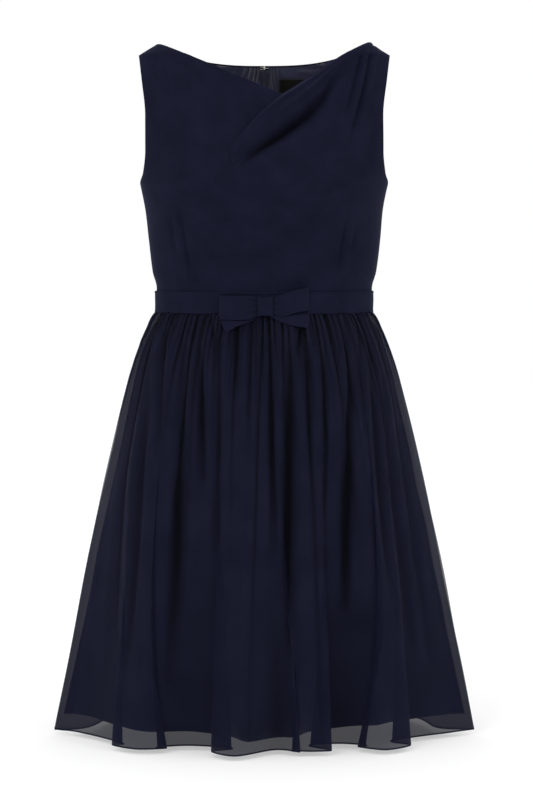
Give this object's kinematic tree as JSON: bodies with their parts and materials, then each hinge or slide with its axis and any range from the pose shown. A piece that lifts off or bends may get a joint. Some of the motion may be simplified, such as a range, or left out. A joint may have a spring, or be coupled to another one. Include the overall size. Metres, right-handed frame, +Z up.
{
  "type": "a-line dress",
  "caption": "Sleeveless knee-length a-line dress, filled out as worn: draped V neck, belt with a flat bow, gathered sheer skirt over a lining, open at neck, armholes and hem.",
  "frame": {"origin": "midway between the neck ends of the two shoulder seams, where the wearer's shoulders hold the dress up", "axes": "+Z up along the wearer's height, -Y the front of the dress, +X the wearer's left"},
  "size_m": [0.5719, 0.343, 0.9286],
  "materials": {
    "chiffon": "matte",
    "lining": "satin",
    "label_ribbon": "satin",
    "zip_ribbon": "matte",
    "zip_metal": "satin"
  },
  "bodies": {
    "dress": {"bodice_front": "chiffon", "bodice_back_left": "chiffon", "bodice_back_right": "chiffon", "bodice_drape": "chiffon", "belt": "chiffon", "bow_knot": "chiffon", "bow_loop_left": "chiffon", "bow_loop_right": "chiffon", "bow_tail_left": "chiffon", "bow_tail_right": "chiffon", "skirt_front": "chiffon", "skirt_back_left": "chiffon", "skirt_back_right": "chiffon", "back_lining_left": "lining", "back_lining_right": "lining", "lining_front": "lining", "lining_back_left": "lining", "lining_back_right": "lining", "neck_label": "label_ribbon", "zip_tape": "zip_ribbon", "zip_coil": "zip_ribbon", "zip_slider": "zip_metal", "neck_hook": "zip_metal", "neck_eye": "zip_metal"},
    "zip_pull": {"zip_pull": "zip_metal"}
  },
  "joints": [
    {"name": "zip_pull_swing", "type": "hinge", "parent": "dress", "child": "zip_pull", "pos_m": [0, 0.0749, -0.03912], "axis": [1, 0, 0], "range_deg": [0, 160]}
  ]
}
